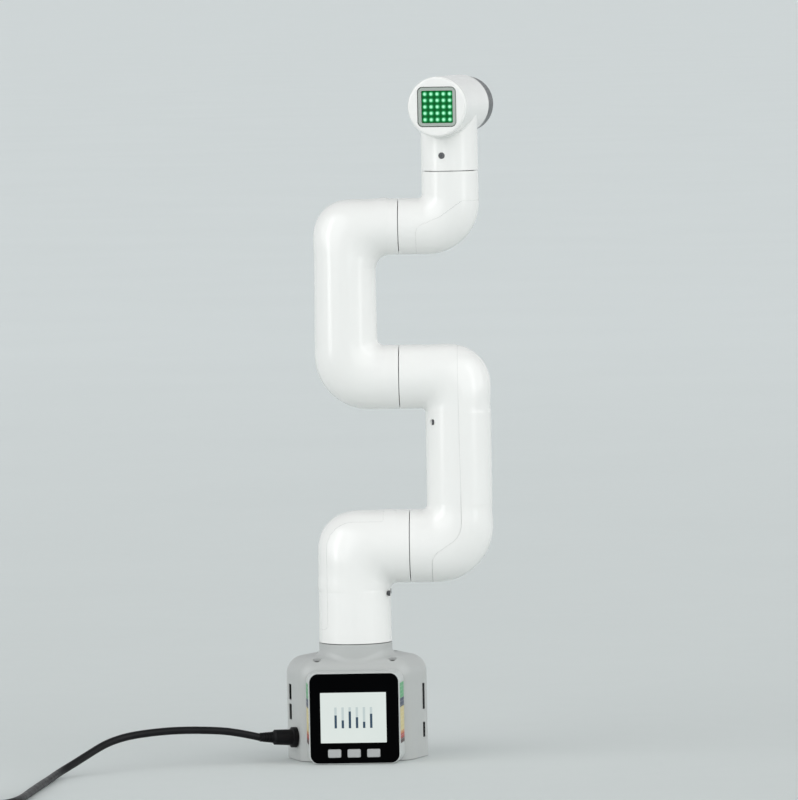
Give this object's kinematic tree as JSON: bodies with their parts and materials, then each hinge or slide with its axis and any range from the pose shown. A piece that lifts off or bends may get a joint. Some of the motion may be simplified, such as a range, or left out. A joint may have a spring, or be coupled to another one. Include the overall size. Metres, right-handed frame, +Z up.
{
  "type": "desktop robot arm",
  "caption": "Slim white desktop robot arm: tubular links stepping side to side on a grey base with a small square display, and a head with a green LED face and a tool flange.",
  "frame": {"origin": "on the table, where the base joint's axis meets the base plate's underside", "axes": "+Z up along the base joint's axis, -Y towards the front, where the display faces, +X to the right when looking at the display"},
  "size_m": [0.3675, 0.3282, 0.424],
  "materials": {
    "white_shell": "gloss",
    "base_grey": "satin",
    "plate_grey": "matte",
    "case_grey": "satin",
    "black_gloss": "gloss",
    "screen": "lit",
    "button_grey": "matte",
    "label": "printed",
    "circuit": "solder mask",
    "connector": "matte",
    "servo_black": "matte",
    "hub_metal": "machined",
    "bearing_steel": "ground",
    "screw_steel": "plated",
    "flange_metal": "machined",
    "led_grey": "matte",
    "led_board": "lit",
    "led": "lit",
    "cord_black": "satin"
  },
  "bodies": {
    "base": {"base_shell": "base_grey", "base_plate": "plate_grey", "base_screws": "screw_steel", "main_board": "circuit", "side_ports": "connector", "dc_jack": "connector", "pin_headers": "connector", "display_case": "case_grey", "display_bezel": "black_gloss", "display_screen": "screen", "display_board": "circuit", "button_switches": "connector", "pin_label_left": "label", "pin_label_right": "label", "servo_1": "servo_black", "bearing_1": "bearing_steel", "power_plug": "cord_black", "power_lead": "cord_black", "power_lead_coil": "cord_black", "lead_end": "connector"},
    "shoulder": {"shoulder_shell": "white_shell", "shoulder_cover": "white_shell", "shoulder_screws": "screw_steel", "hub_1": "hub_metal", "servo_2": "servo_black", "bearing_2": "bearing_steel"},
    "upper_arm": {"upper_arm_shell": "white_shell", "upper_arm_cover": "white_shell", "upper_arm_screws": "screw_steel", "hub_2": "hub_metal", "servo_3": "servo_black", "bearing_3": "bearing_steel"},
    "forearm": {"forearm_shell": "white_shell", "forearm_cover": "white_shell", "forearm_screws": "screw_steel", "hub_3": "hub_metal", "servo_4": "servo_black", "bearing_4": "bearing_steel"},
    "wrist": {"wrist_shell": "white_shell", "wrist_cover": "white_shell", "wrist_screws": "screw_steel", "hub_4": "hub_metal", "servo_5": "servo_black", "bearing_5": "bearing_steel"},
    "head": {"head_shell": "white_shell", "head_front_cap": "white_shell", "led_case": "led_grey", "led_board": "led_board", "led_chips": "led", "head_screws": "screw_steel", "hub_5": "hub_metal", "servo_6": "servo_black", "bearing_6": "bearing_steel"},
    "flange": {"output_sleeve": "white_shell", "tool_flange": "flange_metal", "hub_6": "hub_metal", "flange_screws": "screw_steel"},
    "button_left": {"button_left": "button_grey"},
    "button_middle": {"button_middle": "button_grey"},
    "button_right": {"button_right": "button_grey"}
  },
  "joints": [
    {"name": "base_yaw", "type": "hinge", "parent": "base", "child": "shoulder", "pos_m": [0, 0, 0.0725], "axis": [0, 0, 1], "range_deg": [-168, 168]},
    {"name": "shoulder_pitch", "type": "hinge", "parent": "shoulder", "child": "upper_arm", "pos_m": [0.0354, 0, 0.1317], "axis": [1, 0, 0], "range_deg": [-135, 135]},
    {"name": "elbow_pitch", "type": "hinge", "parent": "upper_arm", "child": "forearm", "pos_m": [0.0306, 0, 0.2373], "axis": [-1, 0, 0], "range_deg": [-150, 150]},
    {"name": "wrist_pitch", "type": "hinge", "parent": "forearm", "child": "wrist", "pos_m": [0.0317, 0, 0.3309], "axis": [1, 0, 0], "range_deg": [-130, 130]},
    {"name": "wrist_roll", "type": "hinge", "parent": "wrist", "child": "head", "pos_m": [0.0642, 0, 0.3652], "axis": [0, 0, 1], "range_deg": [-152.6, 177.4]},
    {"name": "flange_turn", "type": "hinge", "parent": "head", "child": "flange", "pos_m": [0.0642, 0, 0.4054], "axis": [0.2147, 0.9767, 0], "range_deg": [-175, 175]},
    {"name": "button_left_press", "type": "slide", "parent": "base", "child": "button_left", "axis": [0, 1, 0], "range_m": [0, 0.0008], "stiffness_N_per_m": 400},
    {"name": "button_middle_press", "type": "slide", "parent": "base", "child": "button_middle", "axis": [0, 1, 0], "range_m": [0, 0.0008], "stiffness_N_per_m": 400},
    {"name": "button_right_press", "type": "slide", "parent": "base", "child": "button_right", "axis": [0, 1, 0], "range_m": [0, 0.0008], "stiffness_N_per_m": 400}
  ]
}
